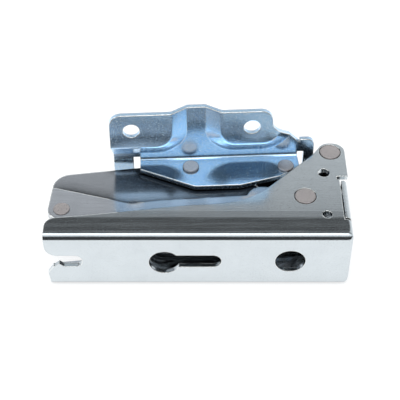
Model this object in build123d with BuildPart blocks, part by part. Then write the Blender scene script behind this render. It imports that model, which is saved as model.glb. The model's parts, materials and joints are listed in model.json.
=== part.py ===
"""Concealed seven-pivot door hinge of a built-in fridge, closed, in millimetres.

A folded sheet housing is fixed to the cabinet by its front web, and a stamped bracket is screwed
to the door. Flat levers join them in two parallelograms, so the door swings round a point outside
the hinge. +X runs along the housing towards the swing side, +Y points from the
web into the hinge and +Z is up. The origin is the centre of the web's round fixing hole, on the
web's outer face.
"""

import os
from math import cos, radians, sin

from build123d import *

os.makedirs("parts", exist_ok=True)

# Housing: a channel folded from one sheet
housing_height = 28.0
housing_sheet = 2.0
housing_bend = 2.5
left_end = -96.5
right_end = 24.0
ear_end = 24.6
inner_bend = 0.6
left_corner = 4.5
ear_depth = 53.8
flange_edge = [(-96.5, 10.0), (-76.1, 12.4), (-60.0, 14.6), (-43.6, 17.0), (-25.7, 18.6), (-7.4, 28.0)]
ear_shoulder = (11.2, 46.8)
ear_shoulder_run = 4.4
ear_shoulder_radius = 14.0
ear_tip_radius = 5.0

# End wall, folded back from the web's swing end
end_wall_depth = 31.3
end_wall_sheet = 2.4
end_wall_seam = 0.6
corner_knuckle = 9.5
knuckle_notch = 0.9
ear_relief = 2.6
relief_bite = 1.0
foot_corner_radius = 4.5
end_wall_bend = 2.0

# Openings in the web
fixing_hole_radius = 6.0
keyhole_x = -49.6
keyhole_drop = 0.7
keyhole_radius = 6.2
keyhole_slot_width = 6.8
keyhole_slot_end = -30.6
end_slot_width = 6.2
end_slot_depth = 14.6
upper_lip_radius = 5.0
lower_lip = [(3.2, -2.6), (0.5, -6.8), (1.2, -14.0)]
lip_nib = [(3.0, -3.4), (5.3, -1.4), (7.3, -3.4)]

# Small holes in the flange beside the front pivot
ear_hole = (14.9, 35.9)
ear_hole_radius = 2.4
corner_hole = (14.5, 12.2)
corner_hole_radius = 2.0

# Pivots in plan: these five set both parallelograms
front_pivot_at = (6.5, 22.4)
rear_pivot_inset = (6.1, 5.4)
far_pivot_at = (-90.7, 17.4)
link_pivot_at = (-39.4, 41.5)
arm_pivot_at = (-0.2, 42.0)

# Levers and their layers, counted from the flange towards the middle
lever_sheet = 2.0
layer_gap = 0.4
flange_gap = 0.3
lever_boss = 5.5
link_boss = 5.4
inner_boss = 4.8
cross_boss = 4.5
pivot_boss = 6.5
main_lever_waist = (-63.5, 15.9)
main_lever_neck = (-13.0, 19.4)
main_lever_hump = (-10.5, 24.0)
neck_boss = 6.0
main_lever_corner = (-94.3, 28.2)
main_lever_corner_radius = 1.2
bracket_link_shoulder = (-88.2, 32.2)
bracket_link_shoulder_radius = 7.6
bracket_link_bulge = (-46.5, 29.0)
bracket_link_lobe = (-16.0, 29.0)
housing_link_bows = [(-10.0, 44.6), (8.0, 39.5)]
housing_link_bar = 3.2
housing_link_boss = 5.4

# Rivets, sleeves and washers
housing_pin_radius = 3.0
lever_pin_radius = 2.5
fit_clearance = 0.05
housing_head_radius = 4.2
housing_head_sink = 0.6
housing_head_rise = 0.15
housing_head_ring = 0.3
far_head_radius = 3.3
far_head_height = 0.3
bracket_head_radius = 3.3
bracket_head_height = 1.0
head_rounding = 0.15
sleeve_wall = 1.4
washer_wall = 2.2
end_play = 0.1
cross_cover = 0.8

# Door bracket: one stamped sheet, turned by the spring past the closed door
bracket_turn = 3.0
bracket_sheet = 2.0
bracket_fold = 1.2
wall_back = 5.9
tab_step = 4.0
tab_top = 39.0
tab_bottom = 21.8
tab_corner = 5.0
left_tab = (-32.6, -7.7)
right_tab = (12.8, 33.4)
joggle_run = 6.5
joggle_corner = 6.0
joggle_rounding = 2.5
left_strap = -31.8
shoulder_start = 30.8
shoulder_end = (45.4, 18.2)
bracket_right_end = 51.6
strap_top = 19.7
strap_corner = 3.0
strap_width_left = 8.3
strap_width_right = 4.2
slit_width = 2.7
slit_rise = 1.6
window_sill = 3.5
flap_front = 11.2
flap_flat = (1.2, 20.0)
flap_knee = (36.4, -6.9)
flap_round = 5.8
screw_hole_u = (-23.8, 25.0)
screw_hole_z = 31.0
screw_hole_radius = 3.4

# Worked-out pivots: the last two close the parallelograms
front_pivot = Vector(*front_pivot_at)
rear_pivot = Vector(ear_end - rear_pivot_inset[0], ear_depth - rear_pivot_inset[1])
far_pivot = Vector(*far_pivot_at)
link_pivot = Vector(*link_pivot_at)
arm_pivot = Vector(*arm_pivot_at)
cross_pivot = far_pivot + arm_pivot - link_pivot
inner_pivot = cross_pivot + rear_pivot - front_pivot

# Worked-out levels, measured up from the middle plane, and how near a match counts
half_height = housing_height / 2
flange_under = half_height - housing_sheet
layer_pitch = lever_sheet + layer_gap
layer_tops = [flange_under - flange_gap - i * layer_pitch for i in range(4)]
main_top, link_top, cross_top, housing_link_top = layer_tops
main_under, link_under, cross_under, housing_link_under = (top - lever_sheet for top in layer_tops)
flap_top = main_top
flap_under = flap_top - bracket_sheet
window_bottom = window_sill - flap_top
sides = {"upper": 1, "lower": -1}
match = 0.01


def save(piece, name):
    """Label a finished piece and write it."""
    piece.label = name
    export_step(piece, f"parts/{name}.step")


def mirrored(piece, sign):
    """The piece itself for the upper side, or its mirror image for the lower side."""
    return piece if sign > 0 else piece.mirror(Plane.XY)


def bosses(*rounds):
    """One convex outline round a few (centre, radius) bosses, joined to the open sketch."""
    with BuildSketch(mode=Mode.PRIVATE) as outline:
        for centre, radius in rounds:
            with Locations(centre):
                Circle(radius)
        make_hull()
    add(outline.sketch)


def bores(top, pivots):
    """Cut one running bore for each (centre, pin radius) through the plate under top."""
    with BuildSketch(Plane.XY.offset(top)) as bore_plan:
        for centre, pin_radius in pivots:
            with Locations(centre):
                Circle(pin_radius + fit_clearance)
    extrude(bore_plan.sketch, amount=-lever_sheet, mode=Mode.SUBTRACT)


def ring(centre, bore_pin, wall, low, high):
    """A sleeve, spacer or washer round a pin."""
    with BuildPart() as tube:
        with BuildSketch(Plane.XY.offset(low)):
            with Locations(centre):
                Circle(bore_pin + fit_clearance + wall)
                Circle(bore_pin + fit_clearance, mode=Mode.SUBTRACT)
        extrude(amount=high - low)
    return tube.part


def rivet(centre, radius, low, high, top_head=None, bottom_head=None):
    """A turned rivet. A head is given as (radius, height) and sits outside its end."""
    with BuildPart() as pin:
        with BuildSketch(Plane.XY.offset(low)):
            with Locations(centre):
                Circle(radius)
        extrude(amount=high - low)
        for head, level, way in ((top_head, high, 1), (bottom_head, low, -1)):
            if head:
                with BuildSketch(Plane.XY.offset(level)):
                    with Locations(centre):
                        Circle(head[0])
                extrude(amount=way * head[1])
                outer = pin.edges().filter_by(GeomType.CIRCLE).sort_by(Axis.Z)[-1 if way > 0 else 0]
                fillet(outer, head_rounding)
    return pin.part


# Housing
with BuildPart() as housing:
    with BuildSketch(Plane.YZ.offset(left_end)):
        Rectangle(ear_depth, housing_height, align=(Align.MIN, Align.CENTER))
        with Locations((housing_sheet, 0)):
            Rectangle(
                ear_depth,
                housing_height - 2 * housing_sheet,
                align=(Align.MIN, Align.CENTER),
                mode=Mode.SUBTRACT,
            )
    extrude(amount=ear_end - left_end)
    long_edges = housing.edges().filter_by(Axis.X).group_by(Axis.Y)
    fillet(long_edges[0], housing_bend)
    inner_edges = housing.edges().filter_by(Axis.X)
    fillet(inner_edges.filter_by(lambda edge: abs(edge.center().Y - housing_sheet) < match), inner_bend)
    relief_end = end_wall_depth + ear_relief
    with BuildSketch(Plane.XY.offset(-half_height)) as flange_plan:
        with BuildLine():
            Spline(*flange_edge)
            Polyline(
                flange_edge[-1],
                ear_shoulder,
                (ear_shoulder[0] + ear_shoulder_run, ear_depth),
                (ear_end, ear_depth),
                (ear_end, relief_end),
                (right_end, relief_end),
                (right_end, 0),
                (left_end, 0),
                flange_edge[0],
            )
        make_face()
        shoulder = flange_plan.vertices().sort_by_distance(ear_shoulder)[0]
        fillet(shoulder, ear_shoulder_radius)
        fillet(flange_plan.vertices().group_by(Axis.Y)[-1], ear_tip_radius)
        fillet(flange_plan.vertices().sort_by_distance(flange_edge[0])[0], left_corner)
    extrude(amount=housing_height, mode=Mode.INTERSECT)
    # Seam beside the end wall, with a relief bite at its end
    seam_x = right_end - end_wall_sheet - end_wall_seam
    with BuildSketch(Plane.XY.offset(-half_height)):
        with Locations((seam_x, corner_knuckle)):
            Rectangle(right_end - seam_x, relief_end - corner_knuckle, align=(Align.MIN, Align.MIN))
        with Locations((seam_x - relief_bite, end_wall_depth + end_wall_seam)):
            Rectangle(2 * relief_bite, ear_relief - end_wall_seam, align=(Align.MIN, Align.MIN))
    extrude(amount=housing_height, mode=Mode.SUBTRACT)
    # End wall, with the channel's own rounded profile
    with BuildSketch(Plane.YZ.offset(right_end)) as wall_profile:
        Rectangle(end_wall_depth, housing_height, align=(Align.MIN, Align.CENTER))
        fillet(wall_profile.vertices().group_by(Axis.X)[0], housing_bend)
    extrude(amount=-end_wall_sheet)
    end_edges = housing.edges().filter_by(lambda edge: abs(edge.center().X - right_end) < match)
    fillet(end_edges.filter_by(lambda edge: edge.center().Y < housing_sheet), end_wall_bend)
    # Relief notch between the folded corner and the end wall
    with BuildSketch(Plane.XY.offset(half_height)):
        with Locations((right_end, corner_knuckle)):
            Rectangle(right_end - seam_x, knuckle_notch, align=(Align.MAX, Align.MIN))
    extrude(amount=-housing_sheet, mode=Mode.SUBTRACT)
    # Rounded lower corner at the swing end
    with BuildSketch(Plane.XZ):
        with Locations((right_end, -half_height)):
            Rectangle(foot_corner_radius, foot_corner_radius, align=(Align.MAX, Align.MIN))
        with Locations((right_end - foot_corner_radius, foot_corner_radius - half_height)):
            Circle(foot_corner_radius, mode=Mode.SUBTRACT)
    extrude(amount=-relief_end, mode=Mode.SUBTRACT)
    # Keyhole, fixing hole and open end slot in the web
    with BuildSketch(Plane.XZ):
        Circle(fixing_hole_radius)
        with Locations((keyhole_x, -keyhole_drop)):
            Circle(keyhole_radius)
        with Locations(((keyhole_x + keyhole_slot_end) / 2, 0)):
            SlotOverall(keyhole_slot_end - keyhole_x + keyhole_slot_width, keyhole_slot_width)
        with Locations((left_end + end_slot_depth / 2 - end_slot_width, 0)):
            SlotOverall(end_slot_depth + 2 * end_slot_width, end_slot_width)
    extrude(amount=-2 * housing_sheet, mode=Mode.SUBTRACT)
    # Lips of the end slot: the lower one is cut back, with a small nib, and the upper one is rounded
    with BuildSketch(Plane.XZ):
        with BuildLine():
            Polyline(
                (left_end, 0),
                *((left_end + along, up) for along, up in lower_lip),
                (left_end, lower_lip[-1][1]),
                close=True,
            )
        make_face()
    extrude(amount=-ear_depth, mode=Mode.SUBTRACT)
    with BuildSketch(Plane.XZ):
        with Locations((left_end, end_slot_width / 2)):
            Rectangle(upper_lip_radius, upper_lip_radius, align=(Align.MIN, Align.MIN))
        with Locations((left_end + upper_lip_radius, end_slot_width / 2 + upper_lip_radius)):
            Circle(upper_lip_radius, mode=Mode.SUBTRACT)
    extrude(amount=-2 * housing_sheet, mode=Mode.SUBTRACT)
    with BuildSketch(Plane.XZ):
        with BuildLine():
            Polyline(*((left_end + along, up) for along, up in lip_nib), close=True)
        make_face()
    extrude(amount=-housing_sheet)
    # Pivot holes and the two small holes, through both flanges
    with BuildSketch(Plane.XY.offset(-half_height)):
        for centre in (front_pivot, rear_pivot):
            with Locations(centre):
                Circle(housing_pin_radius + fit_clearance)
        with Locations(ear_hole):
            Circle(ear_hole_radius)
        with Locations(corner_hole):
            Circle(corner_hole_radius)
    extrude(amount=housing_height, mode=Mode.SUBTRACT)
    # Sinks for the rivet heads in the upper flange
    with BuildSketch(Plane.XY.offset(half_height)):
        with Locations(front_pivot, rear_pivot):
            Circle(housing_head_radius + housing_head_ring)
    extrude(amount=-housing_head_sink, mode=Mode.SUBTRACT)
save(housing.part, "housing")

# Main levers from the housing's front pivot: the upper one runs on to the far pivot
for side, sign in sides.items():
    with BuildPart() as main_lever:
        with BuildSketch(Plane.XY.offset(main_top)):
            if side == "upper":
                bosses(
                    (far_pivot, lever_boss),
                    (main_lever_corner, main_lever_corner_radius),
                    (main_lever_waist, cross_boss),
                )
                bosses((main_lever_waist, cross_boss), (cross_pivot, cross_boss))
            bosses((cross_pivot, cross_boss), (main_lever_neck, neck_boss))
            bosses((main_lever_neck, neck_boss), (main_lever_hump, neck_boss), (front_pivot, pivot_boss))
        extrude(amount=-lever_sheet)
        bores(main_top, [(front_pivot, housing_pin_radius)])
        bores(main_top - cross_cover, [(cross_pivot, lever_pin_radius)])
        if side == "upper":
            bores(main_top, [(far_pivot, lever_pin_radius)])
    save(mirrored(main_lever.part, sign), f"main_lever_{side}")

# Bracket link, from the far pivot to the bracket
with BuildPart() as bracket_link:
    with BuildSketch(Plane.XY.offset(link_top)):
        bosses(
            (far_pivot, lever_boss),
            (bracket_link_shoulder, bracket_link_shoulder_radius),
            (link_pivot, link_boss),
            (bracket_link_bulge, lever_boss),
        )
        bosses(
            (bracket_link_bulge, lever_boss),
            (link_pivot, link_boss),
            (bracket_link_lobe, lever_boss),
        )
    extrude(amount=-lever_sheet)
    bores(link_top, [(far_pivot, lever_pin_radius), (link_pivot, lever_pin_radius)])
save(bracket_link.part, "bracket_link")

# Cross lever pair, from the bracket over the main lever to the inner pivot
for side, sign in sides.items():
    with BuildPart() as cross_lever:
        with BuildSketch(Plane.XY.offset(cross_top)):
            bosses((cross_pivot, lever_boss), (inner_pivot, inner_boss), (arm_pivot, lever_boss))
        extrude(amount=-lever_sheet)
        bores(
            cross_top,
            [(pivot, lever_pin_radius) for pivot in (cross_pivot, inner_pivot, arm_pivot)],
        )
    save(mirrored(cross_lever.part, sign), f"cross_lever_{side}")

# Housing link pair, from the housing's rear pivot to the inner pivot
for side, sign in sides.items():
    with BuildPart() as housing_link:
        with BuildSketch(Plane.XY.offset(housing_link_top)):
            bosses((inner_pivot, inner_boss), (housing_link_bows[0], housing_link_bar))
            bosses(*((bow, housing_link_bar) for bow in housing_link_bows))
            bosses((housing_link_bows[1], housing_link_bar), (rear_pivot, housing_link_boss))
        extrude(amount=-lever_sheet)
        bores(housing_link_top, [(rear_pivot, housing_pin_radius), (inner_pivot, lever_pin_radius)])
    save(mirrored(housing_link.part, sign), f"housing_link_{side}")

# Door bracket, in its own plane: u along the plate, v back from the link pivot
bracket_plan = Plane(
    origin=(link_pivot.X, link_pivot.Y, 0),
    x_dir=(cos(radians(bracket_turn)), sin(radians(bracket_turn)), 0),
    z_dir=(0, 0, 1),
)
bracket_front = Plane(origin=bracket_plan.origin, x_dir=bracket_plan.x_dir, z_dir=-bracket_plan.y_dir)
arm_local = bracket_plan.to_local_coords(Vector(arm_pivot.X, arm_pivot.Y, 0))
flap_left = left_strap + strap_width_left + slit_width
flap_right = bracket_right_end - strap_width_right - slit_width
tab_plane = bracket_front.offset(tab_step - wall_back)
wall_plane = bracket_front.offset(-wall_back)
press_depth = 4 * bracket_sheet


def on_fold(edge, back, level):
    """True for an edge along the bracket at this depth and level."""
    middle = bracket_plan.to_local_coords(edge.center())
    return abs(middle.Y - back) < match and abs(middle.Z - level) < match


def on_depth(edge, back):
    """True for an edge that lies all in one plane of the bracket, at this depth."""
    return all(abs(bracket_plan.to_local_coords(edge @ part).Y - back) < match for part in (0, 0.5, 1))


# The pressed form: a thick blank with both screw tabs raised forward
with BuildPart() as pressed_form:
    with BuildSketch(wall_plane):
        Rectangle(4 * tab_top, 4 * tab_top)
    extrude(amount=-press_depth)
    for low, high in (
        (left_tab[0] - tab_top, left_tab[1]),
        (right_tab[0], right_tab[1] + bracket_sheet),
    ):
        for grow, plane in ((joggle_run, wall_plane), (0, tab_plane)):
            with BuildSketch(plane) as pad:
                with Locations(((low + high) / 2, (tab_bottom + 2 * tab_top) / 2)):
                    RectangleRounded(
                        high - low + 2 * grow,
                        2 * tab_top - tab_bottom + 2 * grow,
                        joggle_corner + grow,
                    )
        loft()
    ridges = [edge for edge in pressed_form.edges() if on_depth(edge, wall_back - tab_step)]
    fillet(ridges, joggle_rounding)
shifted_form = pressed_form.part.moved(Location(bracket_plan.y_dir * bracket_sheet))

with BuildPart() as door_bracket:
    add(pressed_form.part)
    add(shifted_form, mode=Mode.SUBTRACT)
    # Outer outline of the plate
    with BuildSketch(bracket_front.offset(tab_top)) as plate_outline:
        with BuildLine():
            Polyline(
                (left_strap, -flap_top),
                (left_strap, tab_bottom - joggle_run),
                (left_tab[0], tab_bottom),
                (left_tab[0], tab_top),
                (right_tab[1], tab_top),
                (right_tab[1], shoulder_start),
                shoulder_end,
                (shoulder_end[0], strap_top),
                (bracket_right_end, strap_top),
                (bracket_right_end, -flap_top),
                close=True,
            )
        make_face()
        fillet(plate_outline.vertices().group_by(Axis.Y)[-1], tab_corner)
        for corner, radius in (
            ((right_tab[1], shoulder_start), tab_corner),
            ((bracket_right_end, strap_top), strap_corner),
        ):
            fillet(plate_outline.vertices().sort_by_distance(corner)[0], radius)
    extrude(amount=-2 * tab_top, mode=Mode.INTERSECT)
    # Window that the upper flap was lanced from, with a relief slit at each end of its fold
    with BuildSketch(wall_plane):
        with BuildLine():
            Polyline(
                (flap_left - slit_width, flap_top + slit_rise),
                (flap_left, flap_top + slit_rise),
                (flap_left, flap_under),
                (flap_right, flap_under),
                (flap_right, flap_top + slit_rise),
                (flap_right + slit_width, flap_top + slit_rise),
                (flap_right + slit_width, window_bottom),
                (flap_left - slit_width, window_bottom),
                close=True,
            )
        make_face()
    extrude(amount=-press_depth, mode=Mode.SUBTRACT)
    # Pivot flaps, folded forward from the window's top and from the plate's lower edge
    for level, left, right in (
        (flap_under, flap_left, flap_right),
        (-flap_top, left_strap, bracket_right_end),
    ):
        with BuildSketch(bracket_plan.offset(level)) as flap:
            with BuildLine():
                Polyline(
                    (left, wall_back + bracket_sheet),
                    (left, 0),
                    (flap_flat[0], -flap_front),
                    (flap_flat[1], -flap_front),
                    flap_knee,
                    (arm_local.X + flap_round, arm_local.Y),
                    (right, wall_back - bracket_fold),
                    (right, wall_back + bracket_sheet),
                    close=True,
                )
            make_face()
            fillet(flap.vertices().sort_by(Axis.Y)[:2], flap_round)
        extrude(amount=bracket_sheet)
    for back, level, radius in (
        (wall_back + bracket_sheet, flap_under, bracket_fold + bracket_sheet),
        (wall_back + bracket_sheet, -flap_top, bracket_fold + bracket_sheet),
        (wall_back, flap_top, bracket_fold),
        (wall_back, -flap_under, bracket_fold),
    ):
        fillet([edge for edge in door_bracket.edges() if on_fold(edge, back, level)], radius)
    # Screw holes in the tabs and pivot holes in the flaps
    with BuildSketch(tab_plane):
        for along in screw_hole_u:
            with Locations((along, screw_hole_z)):
                Circle(screw_hole_radius)
    extrude(amount=-press_depth, mode=Mode.SUBTRACT)
    for along, back, low in ((0, 0, 0), (arm_local.X, arm_local.Y, -half_height)):
        with BuildSketch(bracket_plan.offset(low)):
            with Locations((along, back)):
                Circle(lever_pin_radius + fit_clearance)
        extrude(amount=housing_height, mode=Mode.SUBTRACT)
save(door_bracket.part, "door_bracket")

# Rivets through both flanges
head_seat = half_height - housing_head_sink
housing_head = (housing_head_radius, housing_head_sink + housing_head_rise)
save(rivet(front_pivot, housing_pin_radius, -half_height, head_seat, housing_head), "front_pivot_rivet")
save(rivet(rear_pivot, housing_pin_radius, -half_height, head_seat, housing_head), "rear_pivot_rivet")

# Rivets through levers
far_head = (far_head_radius, far_head_height)
save(rivet(far_pivot, lever_pin_radius, link_under, main_top, far_head, far_head), "far_pivot_rivet")
cross_end = main_top - cross_cover
save(rivet(cross_pivot, lever_pin_radius, -cross_end, cross_end), "cross_pivot_rivet")
save(rivet(inner_pivot, lever_pin_radius, -cross_top, cross_top), "inner_pivot_rivet")

# Sleeves that hold each pair of levers apart
for name, centre, pin_radius, level in (
    ("front_pivot_sleeve", front_pivot, housing_pin_radius, main_under),
    ("rear_pivot_sleeve", rear_pivot, housing_pin_radius, housing_link_under),
    ("cross_pivot_sleeve", cross_pivot, lever_pin_radius, cross_under),
    ("inner_pivot_sleeve", inner_pivot, lever_pin_radius, housing_link_under),
):
    save(ring(centre, pin_radius, sleeve_wall, end_play - level, level - end_play), name)

# The bracket link's own rivet and washers
bracket_head = (bracket_head_radius, bracket_head_height)
save(rivet(link_pivot, lever_pin_radius, link_under, flap_top, bracket_head), "link_rivet")
save(ring(link_pivot, lever_pin_radius, washer_wall, link_top + end_play, flap_under), "link_washer")
save(ring(far_pivot, lever_pin_radius, washer_wall, link_top + end_play, main_under), "far_washer")

# Arm rivets, spacers and washers of each side
for side, sign in sides.items():
    arm_rivet = rivet(arm_pivot, lever_pin_radius, cross_under, flap_top, bracket_head)
    save(mirrored(arm_rivet, sign), f"arm_rivet_{side}")
    for name, centre, pin_radius, wall, low, high in (
        ("arm_spacer", arm_pivot, lever_pin_radius, sleeve_wall, cross_top, flap_under),
        ("cross_spacer", cross_pivot, lever_pin_radius, sleeve_wall, cross_top, main_under),
        ("inner_washer", inner_pivot, lever_pin_radius, washer_wall, housing_link_top, cross_under),
        ("rear_spacer", rear_pivot, housing_pin_radius, sleeve_wall, housing_link_top, flange_under),
    ):
        save(mirrored(ring(centre, pin_radius, wall, low + end_play, high), sign), f"{name}_{side}")
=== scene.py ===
# %% [markdown]
# # A fridge door hinge, dressed in zinc
#
# The hinge is a folded steel housing, a stamped bracket for the door and flat levers on rivets. The
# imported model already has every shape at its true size, so nothing is modelled here. This lesson
# loads it, sets the camera of the photograph, and gives each metal its own finish. Lengths are in
# metres, unless a line says otherwise.

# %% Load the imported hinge
import json
import math

import bpy
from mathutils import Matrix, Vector


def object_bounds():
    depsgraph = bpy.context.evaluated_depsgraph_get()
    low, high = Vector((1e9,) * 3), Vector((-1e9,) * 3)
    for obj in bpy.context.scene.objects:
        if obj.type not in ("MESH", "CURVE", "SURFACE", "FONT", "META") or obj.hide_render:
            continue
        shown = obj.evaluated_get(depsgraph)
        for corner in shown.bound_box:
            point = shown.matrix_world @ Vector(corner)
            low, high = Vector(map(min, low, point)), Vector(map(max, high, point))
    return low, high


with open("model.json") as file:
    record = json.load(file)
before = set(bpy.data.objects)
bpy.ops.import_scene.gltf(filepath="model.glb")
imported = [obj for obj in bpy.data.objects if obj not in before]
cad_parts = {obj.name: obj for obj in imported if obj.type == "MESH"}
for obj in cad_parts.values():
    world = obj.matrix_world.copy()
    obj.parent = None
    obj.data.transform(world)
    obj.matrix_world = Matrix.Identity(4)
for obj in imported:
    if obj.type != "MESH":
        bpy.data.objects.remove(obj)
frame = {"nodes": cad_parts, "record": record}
nodes = frame["nodes"]
cad_low, cad_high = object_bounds()
print("nodes", len(nodes), "box", tuple(cad_low), tuple(cad_high))

# %% [markdown]
# ## Smooth sheet, crisp edges
#
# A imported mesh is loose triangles, so its rounds look faceted until their normals are smoothed.
# The imported normals already follow the true surfaces, so shading them smooth is enough, and no
# vertex is touched.

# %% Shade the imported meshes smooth
for part in nodes.values():
    for face in part.data.polygons:
        face.use_smooth = True
print("shaded", len(nodes), "meshes")

# %% [markdown]
# ## The camera
#
# The round holes in the photograph are squashed into ellipses, and how much they are squashed
# gives the height of the camera: 45 degrees, straight in front of the web. The lens is long,
# about 98 mm, because the far tabs are hardly smaller than the near web.

# %% Set the camera
PHOTO_TILT = math.radians(45)
PHOTO_LENS = 98.1
PHOTO_PLACE = (-0.0356, -0.2867, 0.3209)

scene = bpy.context.scene
camera_data = bpy.data.cameras.new("photo_camera")
camera_data.lens = PHOTO_LENS
camera_data.sensor_width = 36
camera_data.clip_start = 0.01
camera = bpy.data.objects.new("photo_camera", camera_data)
camera.location = PHOTO_PLACE
camera.rotation_euler = (PHOTO_TILT, 0, 0)
scene.collection.objects.link(camera)
scene.camera = camera
scene.view_settings.view_transform = "Standard"
print("camera at", PHOTO_PLACE)

# %% [markdown]
# ## The table
#
# The hinge was shot on plain white. A flat plane under it does for the table. It ends just outside
# the front of the picture, so that the bend of the housing mirrors the dark room past its edge.

# %% Lay the table
TABLE_SIZE = 6
TABLE_FRONT = 0.085

table_middle = (0, TABLE_SIZE / 2 - TABLE_FRONT, cad_low.z)
bpy.ops.mesh.primitive_plane_add(size=TABLE_SIZE, location=table_middle)
table = bpy.context.object
table.name = "white_table"
print("table at z", cad_low.z)

# %% [markdown]
# ## White for the eye, grey for the light
#
# The table could be lit until it is white, but then the metal would be washed out. So its grey takes
# the light and the hinge's soft shadow, and a plain glow lifts it to white for the eye and for
# mirrors alone. Materials are trees of nodes, and three helpers place and wire them.


# %% Whiten the table
TABLE_GREY = (0.50, 0.50, 0.50, 1)
TABLE_GLOW = 0.68


def node_at(tree, kind, place, **values):
    """A shader node of this kind, with its plain inputs set by name."""
    made = tree.nodes.new(kind)
    made.location = place
    for name, value in values.items():
        made.inputs[name.replace("_", " ")].default_value = value
    return made


def combine(tree, operation, first, second, place):
    """What a math node makes of one socket and a second socket or plain number."""
    made = node_at(tree, "ShaderNodeMath", place)
    made.operation = operation
    tree.links.new(first, made.inputs[0])
    if isinstance(second, (int, float)):
        made.inputs[1].default_value = second
    else:
        tree.links.new(second, made.inputs[1])
    return made.outputs[0]


def blank_material(name):
    """A material with its output node alone."""
    material = bpy.data.materials.new(name)
    material.use_nodes = True
    material.node_tree.nodes.clear()
    out = node_at(material.node_tree, "ShaderNodeOutputMaterial", (900, 0))
    return material, material.node_tree, out


table_white, tree, out = blank_material("white_table")
rays = node_at(tree, "ShaderNodeLightPath", (-500, 200)).outputs
mirrored = combine(tree, "MAXIMUM", rays["Is Glossy Ray"], rays["Is Transmission Ray"], (-300, 200))
seen = combine(tree, "MAXIMUM", rays["Is Camera Ray"], mirrored, (-100, 200))
glow = node_at(tree, "ShaderNodeEmission", (300, 150))
tree.links.new(combine(tree, "MULTIPLY", seen, TABLE_GLOW, (100, 200)), glow.inputs["Strength"])
grey = node_at(tree, "ShaderNodeBsdfDiffuse", (300, 0), Color=TABLE_GREY)
lit = node_at(tree, "ShaderNodeAddShader", (600, 0))
tree.links.new(grey.outputs[0], lit.inputs[0])
tree.links.new(glow.outputs[0], lit.inputs[1])
tree.links.new(lit.outputs[0], out.inputs["Surface"])
table.data.materials.append(table_white)
print("table glows", TABLE_GLOW)

# %% [markdown]
# ## The room
#
# Bright metal shows the room, so most of the light is the room. A photograph of a studio could be
# wrapped round the scene, but a colour ramp is plain to read and to tune. Seen from the side the room
# is a half circle, and each stop says how far round it lies and how bright it is. It is dark in front
# near the floor, then comes a wide pale ceiling, a dark gap where the ceiling stops behind the hinge,
# and a grey back wall. The flange mirrors the far edge of the gap, the bend mirrors the ceiling, and
# the web mirrors the table.

# %% Light the room
ROOM = [
    (0.00, 0.05), (0.185, 0.06), (0.225, 1.00), (0.30, 1.15), (0.45, 1.00), (0.61, 0.85),
    (0.66, 0.07), (0.735, 0.07), (0.765, 0.72), (0.80, 0.85), (1.00, 0.90),
]
ROOM_TINT = (0.93, 0.97, 1.00)

world = bpy.data.worlds.new("grey_studio")
scene.world = world
world.use_nodes = True
tree = world.node_tree
tree.nodes.clear()
direction = node_at(tree, "ShaderNodeTexCoord", (-1100, 0))
split = node_at(tree, "ShaderNodeSeparateXYZ", (-900, 0))
tree.links.new(direction.outputs["Generated"], split.inputs[0])
forward = combine(tree, "MULTIPLY", split.outputs["Y"], -1, (-720, -120))
pitch = combine(tree, "ARCTAN2", split.outputs["Z"], forward, (-540, 0))
turn = node_at(tree, "ShaderNodeMapRange", (-360, 0), From_Max=math.pi)
tree.links.new(pitch, turn.inputs["Value"])
walls = node_at(tree, "ShaderNodeValToRGB", (-180, 0))
walls.color_ramp.interpolation = "EASE"
stops = walls.color_ramp.elements
# A new ramp has its two end stops already, so only the inner ones are added.
for place, light in ROOM[1:-1]:
    stops.new(place)
for stop, (place, light) in zip(stops, ROOM):
    stop.color = (*(light * tint for tint in ROOM_TINT), 1)
tree.links.new(turn.outputs["Result"], walls.inputs[0])
room = node_at(tree, "ShaderNodeBackground", (120, 0))
tree.links.new(walls.outputs["Color"], room.inputs["Color"])
out = node_at(tree, "ShaderNodeOutputWorld", (320, 0))
tree.links.new(room.outputs[0], out.inputs["Surface"])
print("room", [round(stop.position, 3) for stop in stops])

# %% [markdown]
# ## The lamps
#
# Two weak square lamps give the table its soft shadow and the rivets a little shape. A sun would do
# too, but a square lamp near the hinge softens the shadow's edge as a photographer's box does.


# %% Hang the lamps
def soft_lamp(name, place, target, size, power):
    """A square lamp that faces a point of the hinge."""
    data = bpy.data.lights.new(name, "AREA")
    data.size = size
    data.energy = power
    lamp = bpy.data.objects.new(name, data)
    lamp.location = place
    lamp.rotation_euler = (Vector(target) - Vector(place)).to_track_quat("-Z", "Y").to_euler()
    scene.collection.objects.link(lamp)


soft_lamp("overhead_lamp", place=(-0.03, -0.04, 0.75), target=(-0.03, 0.02, 0), size=0.45, power=1.2)
soft_lamp("left_lamp", place=(-0.60, 0.10, 0.45), target=(-0.03, 0.03, 0), size=0.30, power=0.5)

# %% [markdown]
# ## Rolled sheet
#
# Rolling draws fine streaks along a sheet, and zinc lies on it in faint clouds. Both could be painted
# on an image, but noise on the part's own coordinates has no seams. Noise that is coarse along the
# sheet and fine across it gives the streaks. Every metal uses the effect, so it is a node group, and
# each metal gives it its own values.


# %% Build the rolled sheet
STREAKS_ALONG = 60.0
STREAKS_ACROSS = 2400.0


def new_group(name, inputs, outputs):
    """An empty shader group with these float inputs, and outputs of these kinds."""
    group = bpy.data.node_groups.new(name, "ShaderNodeTree")
    for label, value in inputs.items():
        socket = group.interface.new_socket(label, in_out="INPUT", socket_type="NodeSocketFloat")
        socket.default_value = value
    for label, kind in outputs.items():
        group.interface.new_socket(label, in_out="OUTPUT", socket_type="NodeSocket" + kind)
    entry = node_at(group, "NodeGroupInput", (-1000, 0))
    leave = node_at(group, "NodeGroupOutput", (900, 0))
    return group, entry, leave


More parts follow.
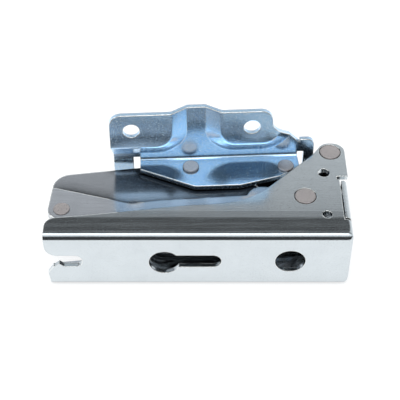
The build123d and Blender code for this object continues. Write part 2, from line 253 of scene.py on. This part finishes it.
rolled_sheet, entry, leave = new_group(
    "rolled_sheet",
    {"Along X": STREAKS_ALONG, "Across": STREAKS_ACROSS, "Clouds": 110.0},
    {"Streaks": "Float", "Clouds": "Float"},
)
spot = node_at(rolled_sheet, "ShaderNodeTexCoord", (-1000, 300))
scale = node_at(rolled_sheet, "ShaderNodeCombineXYZ", (-800, 0))
rolled_sheet.links.new(entry.outputs["Along X"], scale.inputs["X"])
rolled_sheet.links.new(entry.outputs["Across"], scale.inputs["Y"])
rolled_sheet.links.new(entry.outputs["Across"], scale.inputs["Z"])
stretch = node_at(rolled_sheet, "ShaderNodeVectorMath", (-600, 100))
stretch.operation = "MULTIPLY"
rolled_sheet.links.new(spot.outputs["Object"], stretch.inputs[0])
rolled_sheet.links.new(scale.outputs[0], stretch.inputs[1])
streaks = node_at(rolled_sheet, "ShaderNodeTexNoise", (-300, 100), Scale=1.0, Detail=3.0, Roughness=0.6)
rolled_sheet.links.new(stretch.outputs[0], streaks.inputs["Vector"])
rolled_sheet.links.new(streaks.outputs[0], leave.inputs["Streaks"])
clouds = node_at(rolled_sheet, "ShaderNodeTexNoise", (-300, -200), Detail=4.0, Roughness=0.65)
rolled_sheet.links.new(spot.outputs["Object"], clouds.inputs["Vector"])
rolled_sheet.links.new(entry.outputs["Clouds"], clouds.inputs["Scale"])
rolled_sheet.links.new(clouds.outputs[0], leave.inputs["Clouds"])
print("group", rolled_sheet.name)

# %% [markdown]
# ## Zinc specks
#
# Plating leaves a fine speckle, about half a millimetre across. Such dents are too small to model, and
# one noise does for them: its peaks are the specks of another tint, and the whole of it is the grain
# that a bump turns into tiny dents.

# %% Build the zinc specks
SPECK_FULL = 0.75

zinc_speckle, entry, leave = new_group(
    "zinc_speckle",
    {"Scale": 1900.0, "Cover": 0.55},
    {"Speckle": "Float", "Grain": "Float"},
)
spot = node_at(zinc_speckle, "ShaderNodeTexCoord", (-1000, 300))
grains = node_at(zinc_speckle, "ShaderNodeTexNoise", (-600, 100), Detail=2.0, Roughness=0.7)
zinc_speckle.links.new(spot.outputs["Object"], grains.inputs["Vector"])
zinc_speckle.links.new(entry.outputs["Scale"], grains.inputs["Scale"])
peaks = node_at(zinc_speckle, "ShaderNodeMapRange", (-200, 0), From_Max=SPECK_FULL)
zinc_speckle.links.new(grains.outputs[0], peaks.inputs["Value"])
zinc_speckle.links.new(entry.outputs["Cover"], peaks.inputs["From Min"])
zinc_speckle.links.new(peaks.outputs["Result"], leave.inputs["Speckle"])
zinc_speckle.links.new(grains.outputs[0], leave.inputs["Grain"])
print("group", zinc_speckle.name)

# %% [markdown]
# ## Painted shade in tight corners
#
# Where two sheets pass close together, little light gets in, so the colour there is darkened as painted
# shade. That dark could be painted by hand, but ambient occlusion measures how open each point is. A map
# range turns that into a mask, from Darkest where the gap is shut to 1 in the open.

# %% Build the painted shade for tight corners
CORNER_SAMPLES = 12
CORNER_SHUT = 0.45
CORNER_OPEN = 0.98

painted_corner_shade, entry, leave = new_group(
    "painted_corner_shade",
    {"Reach": 0.004, "Shut": CORNER_SHUT, "Darkest": 0.30},
    {"Open": "Float"},
)
# Painted shade: how closed in each point is, used to darken its colour.
shade = node_at(painted_corner_shade, "ShaderNodeAmbientOcclusion", (-600, 100))
shade.samples = CORNER_SAMPLES
painted_corner_shade.links.new(entry.outputs["Reach"], shade.inputs["Distance"])
fade = node_at(painted_corner_shade, "ShaderNodeMapRange", (-200, 0), From_Max=CORNER_OPEN)
painted_corner_shade.links.new(shade.outputs["AO"], fade.inputs["Value"])
painted_corner_shade.links.new(entry.outputs["Shut"], fade.inputs["From Min"])
painted_corner_shade.links.new(entry.outputs["Darkest"], fade.inputs["To Min"])
painted_corner_shade.links.new(fade.outputs["Result"], leave.inputs["Open"])
print("group", painted_corner_shade.name)

# %% [markdown]
# ## Cut edges
#
# Shearing and tumbling leave every cut edge a little round and bright, and that brightness is painted
# into the colour as a highlight. A bevel on the mesh would change the imported shape, so a bevel node
# rounds the normal alone. Where that normal and the true one part, there is an edge, and their dot
# product makes the mask for it.

# %% Build the cut edges
EDGE_SAMPLES = 6
EDGE_STARTS = 0.998
EDGE_FULL = 0.93

cut_edge, entry, leave = new_group("cut_edge", {"Radius": 0.0004}, {"Rim": "Float", "Rounded": "Vector"})
rounded = node_at(cut_edge, "ShaderNodeBevel", (-600, 100))
rounded.samples = EDGE_SAMPLES
cut_edge.links.new(entry.outputs["Radius"], rounded.inputs["Radius"])
flat = node_at(cut_edge, "ShaderNodeNewGeometry", (-600, -150))
agree = node_at(cut_edge, "ShaderNodeVectorMath", (-300, 0))
agree.operation = "DOT_PRODUCT"
cut_edge.links.new(rounded.outputs[0], agree.inputs[0])
cut_edge.links.new(flat.outputs["Normal"], agree.inputs[1])
rim = node_at(cut_edge, "ShaderNodeMapRange", (0, 0), From_Min=EDGE_STARTS, From_Max=EDGE_FULL)
cut_edge.links.new(agree.outputs["Value"], rim.inputs["Value"])
cut_edge.links.new(rim.outputs["Result"], leave.inputs["Rim"])
cut_edge.links.new(rounded.outputs[0], leave.inputs["Rounded"])
print("group", cut_edge.name)

# %% [markdown]
# ## One recipe for steel
#
# Every metal here is plated or bare steel, and five materials could be wired one by one. They differ
# only in tint, in how sharp their mirror is, and in how strongly the four effects show, so one recipe
# makes them all. The tint goes from cloud to speck and is darkened in tight corners as painted shade. At
# cut edges it takes a painted highlight, partly bare sheared steel, except on the rivets, where the rim
# is painted dark shade. Streaks dull the mirror, and streaks and grain together dent it.


# %% Write the recipe for steel
# Painted shade: the black that tight corners are darkened towards.
PAINTED_SHADE_BLACK = (0.01, 0.012, 0.015)
# Painted highlight, partly bare sheared steel: the near white laid on cut edges.
BARE_EDGE_AND_HIGHLIGHT = (0.96, 0.97, 0.94)
# Painted shade: the dark ring laid on the rims of the rivet heads.
PAINTED_RIM_SHADE = (0.06, 0.055, 0.055)
STREAK_LOW = 0.3
STREAK_HIGH = 0.7
GRAIN_HEIGHT = 0.00002


def use_group(tree, group, place, **values):
    """A shared effect placed in a material with its own values."""
    made = node_at(tree, "ShaderNodeGroup", place)
    made.node_tree = group
    for name, value in values.items():
        made.inputs[name.replace("_", " ")].default_value = value
    return made


def blend_colours(tree, mask, low, high, place):
    """A blend that goes from low to high with a mask. Both are plain colours or other blends."""
    mix = node_at(tree, "ShaderNodeMix", place)
    mix.data_type = "RGBA"
    for label, colour in (("A", low), ("B", high)):
        if isinstance(colour, tuple):
            mix.inputs[label].default_value = (*colour, 1)
        else:
            tree.links.new(colour.outputs["Result"], mix.inputs[label])
    tree.links.new(mask, mix.inputs["Factor"])
    return mix


def steel(name, low, high, speck, sharp, dull, grain_depth, cover, edge, reach, darkest,
          shut=CORNER_SHUT, rim_tint=BARE_EDGE_AND_HIGHLIGHT, along_x=STREAKS_ALONG):
    """Steel tinted from low to high, with specks of a third tint, painted shade in tight corners,
    rim_tint painted on cut edges (a highlight on most metals, shade on the rivets) and a mirror from
    sharp to dull.
    """
    material, tree, out = blank_material(name)
    skin = node_at(tree, "ShaderNodeBsdfPrincipled", (600, 0), Metallic=1.0)
    sheet = use_group(tree, rolled_sheet, (-600, 0), Along_X=along_x)
    specks = use_group(tree, zinc_speckle, (-600, -300), Cover=cover)
    corner = use_group(tree, painted_corner_shade, (50, 450), Reach=reach, Shut=shut, Darkest=darkest)
    cut = use_group(tree, cut_edge, (-600, -600), Radius=edge)
    clouded = blend_colours(tree, sheet.outputs["Clouds"], low, high, (-200, 200))
    speckled = blend_colours(tree, specks.outputs["Speckle"], clouded, speck, (50, 200))
    # Painted shade: the colour darkens towards black where the corner mask is shut.
    shaded = blend_colours(tree, corner.outputs["Open"], PAINTED_SHADE_BLACK, speckled, (300, 300))
    shaded.name = "shaded"
    # Painted highlight, partly bare sheared steel: cut edges take rim_tint; on the rivets rim_tint is a
    # painted dark shade.
    rim_highlight_and_shade = blend_colours(tree, cut.outputs["Rim"], shaded, rim_tint, (450, 300))
    tree.links.new(rim_highlight_and_shade.outputs["Result"], skin.inputs["Base Color"])
    gloss = node_at(tree, "ShaderNodeMapRange", (50, -50), From_Min=STREAK_LOW, From_Max=STREAK_HIGH)
    gloss.inputs["To Min"].default_value = sharp
    gloss.inputs["To Max"].default_value = dull
    tree.links.new(sheet.outputs["Streaks"], gloss.inputs["Value"])
    tree.links.new(gloss.outputs["Result"], skin.inputs["Roughness"])
    dents = combine(tree, "ADD", sheet.outputs["Streaks"], specks.outputs["Grain"], (50, -250))
    grain = node_at(tree, "ShaderNodeBump", (300, -250), Strength=grain_depth, Distance=GRAIN_HEIGHT)
    grain.name = "grain"
    tree.links.new(dents, grain.inputs["Height"])
    tree.links.new(cut.outputs["Rounded"], grain.inputs["Normal"])
    tree.links.new(grain.outputs[0], skin.inputs["Normal"])
    tree.links.new(skin.outputs[0], out.inputs["Surface"])
    return material


print("worn edges", BARE_EDGE_AND_HIGHLIGHT, "rivet rims", PAINTED_RIM_SHADE)

# %% [markdown]
# ## Five metals
#
# The housing is bright zinc, and the bracket is zinc with a blue passivation and an even mottle, as fine
# along the sheet as across it, instead of streaks. The levers are greyer rolled zinc, with painted shade
# darkening the gaps behind their edges. The rivets are bare and warm, with a painted dark shade line
# round each head, and the sleeves are turned steel. Each is kept under the name that the record has for
# its finish.

# %% Mix the five metals
finishes = {
    "housing_steel": steel(
        "bright_zinc", low=(0.60, 0.645, 0.67), high=(0.70, 0.745, 0.77), speck=(0.46, 0.49, 0.52),
        sharp=0.14, dull=0.22, grain_depth=0.30, cover=0.58, edge=0.0004, reach=0.002, darkest=0.30,
    ),
    "bracket_steel": steel(
        "blue_zinc", low=(0.47, 0.68, 0.94), high=(0.59, 0.81, 1.00), speck=(0.90, 0.97, 1.00),
        sharp=0.12, dull=0.30, grain_depth=0.80, cover=0.48, edge=0.0007, reach=0.004, darkest=0.75,
        along_x=STREAKS_ACROSS,
    ),
    "lever_steel": steel(
        "rolled_zinc", low=(0.50, 0.52, 0.55), high=(0.62, 0.64, 0.68), speck=(0.42, 0.43, 0.46),
        sharp=0.12, dull=0.22, grain_depth=0.30, cover=0.58, edge=0.0007, reach=0.008, darkest=0.02,
        shut=0.84,
    ),
    "rivet_steel": steel(
        "rivet_steel", low=(0.60, 0.55, 0.54), high=(0.84, 0.77, 0.75), speck=(0.36, 0.33, 0.33),
        sharp=0.30, dull=0.45, grain_depth=0.60, cover=0.52, edge=0.0004, reach=0.002, darkest=0.10,
        rim_tint=PAINTED_RIM_SHADE,
    ),
    "sleeve_steel": steel(
        "turned_steel", low=(0.52, 0.53, 0.55), high=(0.66, 0.67, 0.69), speck=(0.45, 0.46, 0.48),
        sharp=0.18, dull=0.32, grain_depth=0.40, cover=0.60, edge=0.0004, reach=0.003, darkest=0.20,
    ),
}
print("metals", sorted(finishes))

# %% [markdown]
# ## A flange that isn't quite flat
#
# Folding pulls the flange down beside its bend and leaves its ear falling back a little. The eye sees
# no such slope, but a mirror does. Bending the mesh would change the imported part, so a broad bump
# leans the mirror alone. It is the sum of three slopes along Y, each from start to end in metres with
# a rise in millimetres.


# %% Bow the flange
MILLIMETRE = 0.001
CROWN = {"start": 0.0025, "end": 0.011, "rise": 0.60}
FOLD = {"start": 0.0, "end": 0.002, "rise": 0.25}
EAR_FALL = {"start": 0.014, "end": 0.055, "rise": -0.45}


def along(tree, axis, place, start, end, rise=1.0):
    """A mask that goes from 0 to its rise between two points on one axis of the part."""
    spot = node_at(tree, "ShaderNodeTexCoord", (place[0] - 400, place[1]))
    split = node_at(tree, "ShaderNodeSeparateXYZ", (place[0] - 200, place[1]))
    tree.links.new(spot.outputs["Object"], split.inputs[0])
    mask = node_at(tree, "ShaderNodeMapRange", place, From_Min=start, From_Max=end, To_Max=rise)
    tree.links.new(split.outputs[axis], mask.inputs["Value"])
    return mask


def bow(tree, height, drop):
    """Let a metal's mirror lean: a broad bump under its fine grain."""
    grain = tree.nodes["grain"]
    broad = node_at(tree, "ShaderNodeBump", (50, -400), Strength=1.0, Distance=drop)
    tree.links.new(height, broad.inputs["Height"])
    tree.links.new(grain.inputs["Normal"].links[0].from_socket, broad.inputs["Normal"])
    tree.links.new(broad.outputs[0], grain.inputs["Normal"])


tree = finishes["housing_steel"].node_tree
crown = along(tree, "Y", (-400, -700), **CROWN)
crown.interpolation_type = "SMOOTHSTEP"
fold = along(tree, "Y", (-400, -950), **FOLD)
fold.interpolation_type = "SMOOTHSTEP"
ear = along(tree, "Y", (-400, -1200), **EAR_FALL)
bend = combine(tree, "ADD", crown.outputs["Result"], fold.outputs["Result"], (-150, -800))
flange = combine(tree, "ADD", bend, ear.outputs["Result"], (0, -900))
bow(tree, flange, MILLIMETRE)
print("flange", CROWN, FOLD, EAR_FALL)

# %% [markdown]
# ## The long lever on top
#
# The main lever lies over the others and leans back by a degree or two, so it mirrors a brighter strip
# of the wall. Turning the mesh would move the imported part, so a bump leans its mirror. All the levers
# share one metal, and a mask on height picks out the top one. The same mask keeps its face clear of the
# painted shade, so that the painted dark of the gap falls only on the link below it.

# %% Lean the long lever
LEAN_HEIGHT = 0.0013
LEAN = {"start": 0.05, "end": 0.0}
TOP_LAYER = {"start": 0.0094, "end": 0.0096}

tree = finishes["lever_steel"].node_tree
lean = along(tree, "Y", (-400, -700), **LEAN).outputs["Result"]
upper = along(tree, "Z", (-400, -950), **TOP_LAYER).outputs["Result"]
bow(tree, combine(tree, "MULTIPLY", lean, upper, (-150, -800)), LEAN_HEIGHT)
# Painted shade: the lower levers' colour is darkened in the gap, and the top lever is kept clear of it.
shaded = tree.nodes["shaded"]
gap = shaded.inputs["Factor"].links[0].from_socket
tree.links.new(combine(tree, "MAXIMUM", gap, upper, (150, 600)), shaded.inputs["Factor"])
print("lean", LEAN_HEIGHT, "in", LEAN, "above", TOP_LAYER)

# %% [markdown]
# ## The washers
#
# The thin washers between the levers are a dark bearing plastic. Only their rims show, so a dull
# grey with a faint mottle does it, with the clouds of the rolled sheet made small.

# %% Make the washers' plastic
WASHER_DARK = (0.030, 0.030, 0.032)
WASHER_PALE = (0.065, 0.065, 0.07)
WASHER_MOTTLE = 900.0
WASHER_SHARP = 0.40
WASHER_DULL = 0.60

washer_plastic, tree, out = blank_material("washer_plastic")
skin = node_at(tree, "ShaderNodeBsdfPrincipled", (600, 0))
mottle = use_group(tree, rolled_sheet, (-600, 0), Clouds=WASHER_MOTTLE)
colour = blend_colours(tree, mottle.outputs["Clouds"], WASHER_DARK, WASHER_PALE, (0, 200))
tree.links.new(colour.outputs["Result"], skin.inputs["Base Color"])
gloss = node_at(tree, "ShaderNodeMapRange", (0, -100), To_Min=WASHER_SHARP, To_Max=WASHER_DULL)
tree.links.new(mottle.outputs["Clouds"], gloss.inputs["Value"])
tree.links.new(gloss.outputs["Result"], skin.inputs["Roughness"])
tree.links.new(skin.outputs[0], out.inputs["Surface"])
finishes["washer_polymer"] = washer_plastic
print("plastic", washer_plastic.name)

# %% [markdown]
# ## Dress the hinge
#
# The record says which finish each node has on the real hinge. Reading it there, and not from a list
# written here, keeps the looks and the record the same.

# %% Put each finish on its nodes
for row in frame["record"]["subparts"]:
    slots = nodes[row["node"]].data.materials
    slots.clear()
    slots.append(finishes[row["material_slot"]])
